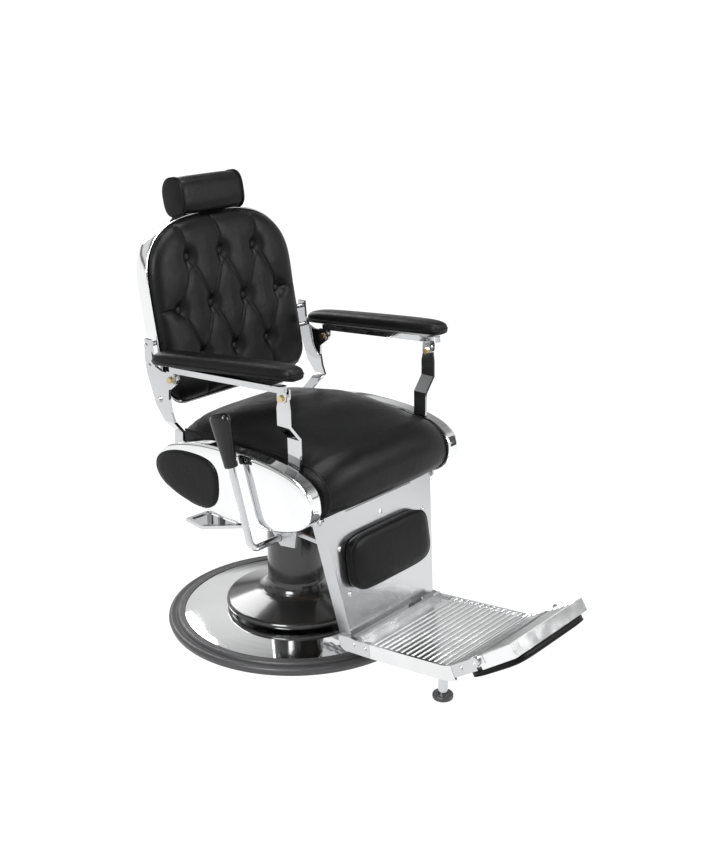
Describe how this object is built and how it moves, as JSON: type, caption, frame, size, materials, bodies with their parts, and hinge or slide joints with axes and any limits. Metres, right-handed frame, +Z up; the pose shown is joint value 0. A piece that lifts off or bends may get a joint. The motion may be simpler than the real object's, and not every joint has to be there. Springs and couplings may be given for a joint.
{
  "type": "hydraulic barber chair",
  "caption": "Reclining barber chair on a telescoping column and round floor base, with linked armrests, a swinging legrest, a folding toe flap and an adjustable headrest",
  "frame": {"origin": "on the floor, at the centre of the round base, on the column's axis", "axes": "+Z up, the sitter faces -Y, and the sitter's right is -X"},
  "size_m": [0.6599, 1.1048, 1.1056],
  "materials": {
    "cast_iron": "painted, matt",
    "chrome": "mirror",
    "steel": "satin",
    "brushed": "brushed",
    "aluminium": "polished",
    "brass": "satin",
    "rubber": "satin",
    "gloss_black": "gloss",
    "black_grip": "gloss",
    "wood": "plain plywood",
    "leather": "satin, fine grain"
  },
  "bodies": {
    "base": {"base_plate": "cast_iron", "base_dome": "chrome", "base_ring": "rubber", "pump_cylinder": "steel", "cylinder_bush": "brass", "base_bolts": "steel"},
    "lift": {"ram": "chrome", "turntable": "steel", "turntable_nut": "steel", "column_cover": "gloss_black"},
    "chair": {"seat_chassis": "steel", "side_frame_right": "steel", "side_frame_left": "steel", "post_pins": "steel", "shell_standoffs": "steel", "legrest_hinge_rod": "chrome", "lever_bearing": "steel", "release_hangers": "steel", "seat_board": "wood", "seat_cushion": "leather", "shell_right": "chrome", "shell_left": "chrome", "shell_inset_right": "leather", "shell_inset_left": "leather"},
    "back": {"recline_shaft": "steel", "bracket_right": "chrome", "bracket_left": "chrome", "bracket_spacers": "chrome", "bracket_screws": "chrome", "back_rim": "chrome", "back_panel": "gloss_black", "back_cushion": "leather", "back_buttons": "leather", "headrest_socket": "chrome"},
    "headrest_carrier": {"headrest_bar": "chrome"},
    "headrest": {"headrest_plate": "steel", "headrest_cushion": "leather"},
    "post_right": {"post_right": "chrome"},
    "post_left": {"post_left": "chrome"},
    "arm_right": {"arm_rail_right": "chrome", "arm_pivots_right": "brass", "arm_pad_right": "leather"},
    "arm_left": {"arm_rail_left": "chrome", "arm_pivots_left": "brass", "arm_pad_left": "leather"},
    "links": {"link_rods": "steel"},
    "legrest": {"legrest_panel": "brushed", "legrest_screws": "chrome", "calf_pad": "leather", "legrest_elbows": "chrome", "footrest_rails": "aluminium", "footrest_tread": "aluminium", "toe_lugs": "chrome", "foot_stop_stems": "chrome", "foot_stop_pads": "rubber"},
    "toe": {"toe_flap": "aluminium", "toe_pad": "leather"},
    "lever": {"pump_lever": "chrome", "lever_grip": "black_grip"},
    "release": {"release_loop": "chrome"}
  },
  "joints": [
    {"name": "lift_slide", "type": "slide", "parent": "base", "child": "lift", "axis": [0, 0, 1], "range_m": [0, 0.15]},
    {"name": "swivel", "type": "hinge", "parent": "lift", "child": "chair", "pos_m": [0, 0, 0.35], "axis": [0, 0, 1], "continuous": true},
    {"name": "recline", "type": "hinge", "parent": "chair", "child": "back", "pos_m": [0, 0.14, 0.41], "axis": [-1, 0, 0], "range_deg": [0, 45]},
    {"name": "legrest_swing", "type": "hinge", "parent": "chair", "child": "legrest", "pos_m": [0, -0.262, 0.392], "axis": [-1, 0, 0], "range_deg": [0, 45]},
    {"name": "link_swing", "type": "hinge", "parent": "back", "child": "links", "pos_m": [0, 0.14, 0.33], "axis": [-1, 0, 0], "range_deg": [-45, 0]},
    {"name": "arm_right_swing", "type": "hinge", "parent": "back", "child": "arm_right", "pos_m": [-0.266, 0.135, 0.663], "axis": [-1, 0, 0], "range_deg": [-45, 0]},
    {"name": "arm_left_swing", "type": "hinge", "parent": "back", "child": "arm_left", "pos_m": [0.266, 0.135, 0.663], "axis": [-1, 0, 0], "range_deg": [-45, 0]},
    {"name": "post_right_swing", "type": "hinge", "parent": "chair", "child": "post_right", "pos_m": [-0.2275, -0.209, 0.434], "axis": [-1, 0, 0], "range_deg": [0, 45]},
    {"name": "post_left_swing", "type": "hinge", "parent": "chair", "child": "post_left", "pos_m": [0.2275, -0.209, 0.434], "axis": [-1, 0, 0], "range_deg": [0, 45]},
    {"name": "headrest_slide", "type": "slide", "parent": "back", "child": "headrest_carrier", "axis": [0, 0.1822, 0.9833], "range_m": [0, 0.05]},
    {"name": "headrest_tilt", "type": "hinge", "parent": "headrest_carrier", "child": "headrest", "pos_m": [0, 0.31988, 1.04703], "axis": [-1, 0, 0], "range_deg": [0, 25]},
    {"name": "toe_fold", "type": "hinge", "parent": "legrest", "child": "toe", "pos_m": [0, -0.66879, 0.16636], "axis": [-1, 0, 0], "range_deg": [0, 120]},
    {"name": "pump_stroke", "type": "hinge", "parent": "chair", "child": "lever", "pos_m": [-0.19, -0.146, 0.322], "axis": [1, 0, 0], "range_deg": [0, 30], "stiffness_Nm_per_rad": 4, "springref_deg": -17.19},
    {"name": "release_press", "type": "hinge", "parent": "chair", "child": "release", "pos_m": [-0.198, 0.04, 0.318], "axis": [0, -1, 0], "range_deg": [0, 12], "stiffness_Nm_per_rad": 3, "springref_deg": -11.46}
  ],
  "couplings": [
    {"joint": "legrest_swing", "follows": "recline", "ratio": 1},
    {"joint": "link_swing", "follows": "recline", "ratio": -1},
    {"joint": "arm_right_swing", "follows": "recline", "ratio": -1},
    {"joint": "arm_left_swing", "follows": "recline", "ratio": -1},
    {"joint": "post_right_swing", "follows": "recline", "ratio": 1},
    {"joint": "post_left_swing", "follows": "recline", "ratio": 1}
  ]
}
